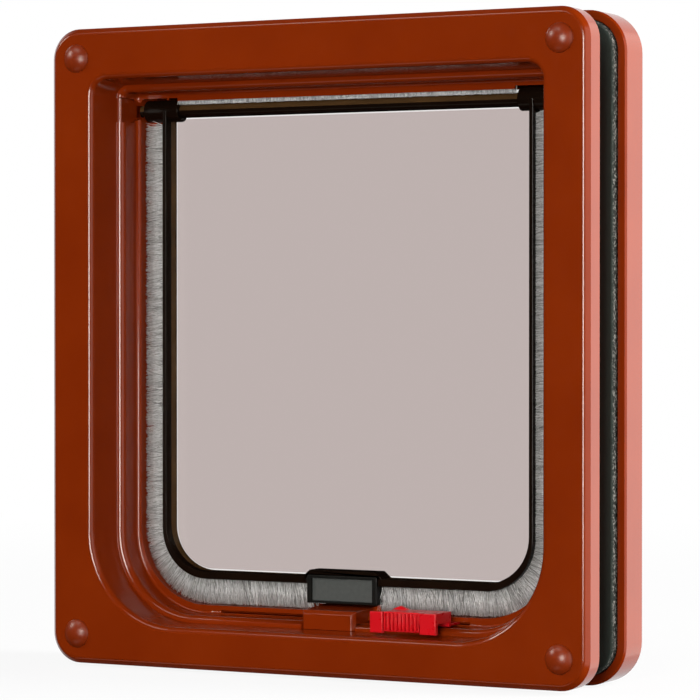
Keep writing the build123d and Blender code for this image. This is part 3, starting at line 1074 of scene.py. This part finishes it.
# whether a ray comes from the camera, straight through the pane or off a glossy surface;
# a ray through the pane is flagged as glossy too, and that is taken off
def shownRays(nodes, links, glossy=1):
    path = nodes.new("ShaderNodeLightPath")
    crossing = path.outputs["Is Transmission Ray"]
    unmirrored = joinMath(nodes, links, "LESS_THAN", path.outputs["Glossy Depth"], 0.5)
    through = joinMath(nodes, links, "MULTIPLY", crossing, unmirrored)
    straight = joinMath(nodes, links, "MAXIMUM", path.outputs["Is Camera Ray"], through)
    bounced = joinMath(nodes, links, "SUBTRACT", path.outputs["Is Glossy Ray"], crossing)
    mirrored = joinMath(nodes, links, "MULTIPLY", bounced, glossy)
    return joinMath(nodes, links, "MAXIMUM", straight, mirrored), path


paleFloor = {
    "size": 12,
    "paint": (0.85, 0.89, 0.97),
    "glow": (0.9, 1),
    "reach": (0.2, 0.9),
    "gap": 0.2 * mm,
}


# white paint that keeps the shadow near the object and goes over to plain white with distance
def makeFloor():
    look = paleFloor
    material = bpy.data.materials.new("paleFloor")
    material.use_nodes = True
    nodes, links = material.node_tree.nodes, material.node_tree.links
    nodes.clear()
    place = nodes.new("ShaderNodeTexCoord")
    away = nodes.new("ShaderNodeVectorMath")
    away.operation = "LENGTH"
    links.new(place.outputs["Object"], away.inputs[0])
    distance = away.outputs["Value"]
    glow = mapRange(nodes, links, distance, look["reach"], look["glow"], "SMOOTHSTEP")
    shown, _ = shownRays(nodes, links)
    matt = nodes.new("ShaderNodeBsdfDiffuse")
    feedSocket(links, matt.inputs["Color"], look["paint"])
    white = nodes.new("ShaderNodeEmission")
    mixed = nodes.new("ShaderNodeMixShader")
    links.new(joinMath(nodes, links, "MULTIPLY", shown, glow), mixed.inputs["Fac"])
    links.new(matt.outputs[0], mixed.inputs[1])
    links.new(white.outputs[0], mixed.inputs[2])
    output = nodes.new("ShaderNodeOutputMaterial")
    links.new(mixed.outputs[0], output.inputs["Surface"])
    under = Matrix.Translation((0, 0, cadLow.z - look["gap"]))
    floor = stagePlane("floor", look["size"], look["size"], under, material)
    floor.visible_glossy = floor.visible_diffuse = floor.visible_transmission = False


blackFlag = {"y": 36 * mm, "width": 168 * mm, "height": 190 * mm}


# a black card behind the passage that only reflections meet, so that no wall mirrors the white
def makeFlag():
    look = blackFlag
    material, _, links, shader = newMaterial("blackFlag")
    dressShader(links, shader, {"Base Color": (0, 0, 0), "Specular IOR Level": 0})
    place = Matrix.Translation((0, look["y"], 0)) @ Matrix.Rotation(quarterTurn, 4, "X")
    flag = stagePlane("blackFlag", look["width"], look["height"], place, material)
    flag.visible_camera = flag.visible_diffuse = False
    flag.visible_transmission = flag.visible_shadow = False


studio = {"ambient": 0.05, "whiteFrom": 0.05, "whiteFull": 0.5, "warmth": (1.0, 0.955, 0.875)}


# white behind the object, and a low even light from all round
def makeWorld():
    world = bpy.data.worlds.new("studio")
    bpy.context.scene.world = world
    world.use_nodes = True
    nodes, links = world.node_tree.nodes, world.node_tree.links
    place = nodes.new("ShaderNodeTexCoord")
    parts = nodes.new("ShaderNodeSeparateXYZ")
    links.new(place.outputs["Generated"], parts.inputs[0])
    rise = (studio["whiteFrom"], studio["whiteFull"])
    behind = mapRange(nodes, links, parts.outputs["Y"], rise, (0, 1), "SMOOTHSTEP")
    shown, path = shownRays(nodes, links, behind)
    diffuse = path.outputs["Is Diffuse Ray"]
    low = joinMath(nodes, links, "MULTIPLY", diffuse, studio["ambient"])
    looks = {
        "Color": (1, 1, 1),
        "Strength": joinMath(nodes, links, "MAXIMUM", shown, low),
    }
    dressShader(links, nodes["Background"], looks)


# soft boxes: azimuth and elevation as seen from the object, and a radiance whatever the size
softBoxes = {
    "frontStrip": {"angles": (15, 4), "distance": 1.25, "size": (0.38, 0.55), "radiance": 19.5},
    "upperLeft": {"angles": (-64, 27), "distance": 1.2, "size": (0.30, 0.30), "radiance": 14},
    "overhead": {"angles": (-28, 52), "distance": 1.2, "size": (0.7, 0.2), "radiance": 4.5},
    "below": {"angles": (-28, -50), "distance": 1.2, "size": (0.8, 0.25), "radiance": 0.9},
    "rightWall": {"angles": (66, 5), "distance": 1.6, "size": (1.0, 1.6), "radiance": 1.3},
    "rightSide": {"angles": (109, 8), "distance": 1.5, "size": (0.7, 1.6), "radiance": 21.5},
    "backRight": {"angles": (152, 3), "distance": 1.6, "size": (0.8, 1.4), "radiance": 0.65},
}


def makeSoftBox(name, angles, distance, size, radiance):
    light = bpy.data.lights.new(name, "AREA")
    light.shape = "RECTANGLE"
    light.color = studio["warmth"]
    light.size, light.size_y = size
    light.energy = radiance * math.pi * size[0] * size[1]
    lamp = bpy.data.objects.new(name, light)
    bpy.context.scene.collection.objects.link(lamp)
    turn, rise = (math.radians(angle) for angle in angles)
    level = math.cos(rise)
    outward = Vector((math.sin(turn) * level, -math.cos(turn) * level, math.sin(rise)))
    lamp.location = outward * distance
    lamp.rotation_euler = outward.to_track_quat("Z", "Y").to_euler()
    lamp.visible_transmission = False


shot = {
    "place": (0.5185, -0.9545, 0.0112),
    "azimuth": 27.99,
    "pitch": -0.638,
    "lens": 166.24,
    "sensor": 36,
    "clip": (0.05, 50),
}


def makeCamera():
    camera = bpy.data.cameras.new("camera")
    camera.lens, camera.sensor_width = shot["lens"], shot["sensor"]
    camera.clip_start, camera.clip_end = shot["clip"]
    eye = bpy.data.objects.new("camera", camera)
    bpy.context.scene.collection.objects.link(eye)
    eye.location = shot["place"]
    eye.rotation_euler = (math.radians(90 + shot["pitch"]), 0, math.radians(shot["azimuth"]))
    bpy.context.scene.camera = eye


makeFloor()
makeFlag()
makeWorld()
for boxName, box in softBoxes.items():
    makeSoftBox(boxName, **box)
makeCamera()
bpy.context.scene.view_settings.view_transform = "Standard"
print("stage, lights and camera made")
